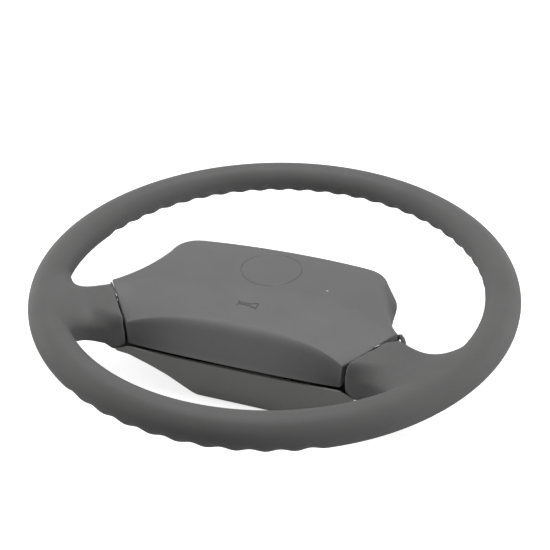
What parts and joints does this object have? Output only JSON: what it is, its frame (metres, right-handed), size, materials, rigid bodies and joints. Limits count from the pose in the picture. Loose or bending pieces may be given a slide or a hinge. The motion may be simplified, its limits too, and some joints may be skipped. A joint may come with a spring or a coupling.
{
  "type": "vehicle steering wheel",
  "caption": "Two-spoke vehicle steering wheel with finger waves on the rim, a sprung central horn pad, a keel-shaped back cover and a serrated hub.",
  "frame": {"origin": "centre of the bounding box at the flat of the back cover, on the shaft axis", "axes": "+Z along the shaft axis towards the driver, +Y towards twelve o'clock, +X towards the spoke at three o'clock"},
  "size_m": [0.4396, 0.44, 0.0741],
  "materials": {
    "rim_foam": "fine leather grain, satin",
    "pad_plastic": "fine grain, satin",
    "cover_plastic": "fine grain, matt",
    "frame_black": "black dip paint",
    "hub_steel": "turned",
    "carrier_steel": "zinc plated sheet",
    "contact_brass": "bright",
    "insulating_board": "pressed board",
    "bush_plastic": "natural nylon",
    "carrier_plastic": "moulded",
    "clip_steel": "zinc plated",
    "spring_steel": "drawn wire",
    "screw_zinc": "zinc plated"
  },
  "bodies": {
    "wheel": {"rim_moulding": "rim_foam", "armature": "frame_black", "hub_boss": "hub_steel", "back_cover": "cover_plastic", "fixed_contact": "contact_brass", "contact_insulator": "insulating_board", "contact_stud": "contact_brass", "stud_sleeve": "bush_plastic", "slip_ring_carrier": "carrier_plastic", "slip_ring": "contact_brass", "seam_clip_left": "clip_steel", "seam_clip_right": "clip_steel", "guide_post_1": "clip_steel", "guide_post_2": "clip_steel", "guide_post_3": "clip_steel", "guide_post_4": "clip_steel", "horn_spring_1": "spring_steel", "horn_spring_2": "spring_steel", "horn_spring_3": "spring_steel", "horn_spring_4": "spring_steel", "cover_screw_1": "screw_zinc", "cover_screw_2": "screw_zinc", "cover_screw_3": "screw_zinc", "cover_screw_4": "screw_zinc"},
    "pad": {"horn_pad": "pad_plastic", "pad_carrier": "carrier_steel", "moving_contact": "contact_brass", "guide_bush_1": "bush_plastic", "guide_bush_2": "bush_plastic", "guide_bush_3": "bush_plastic", "guide_bush_4": "bush_plastic", "pad_screw_1": "screw_zinc", "pad_screw_2": "screw_zinc", "pad_screw_3": "screw_zinc", "pad_screw_4": "screw_zinc"}
  },
  "joints": [
    {"name": "horn_press", "type": "slide", "parent": "wheel", "child": "pad", "axis": [0, 0, -1], "range_m": [0, 0.0018], "stiffness_N_per_m": 6000, "springref_m": -0.004, "deforming": ["horn_spring_1", "horn_spring_2", "horn_spring_3", "horn_spring_4"]}
  ]
}
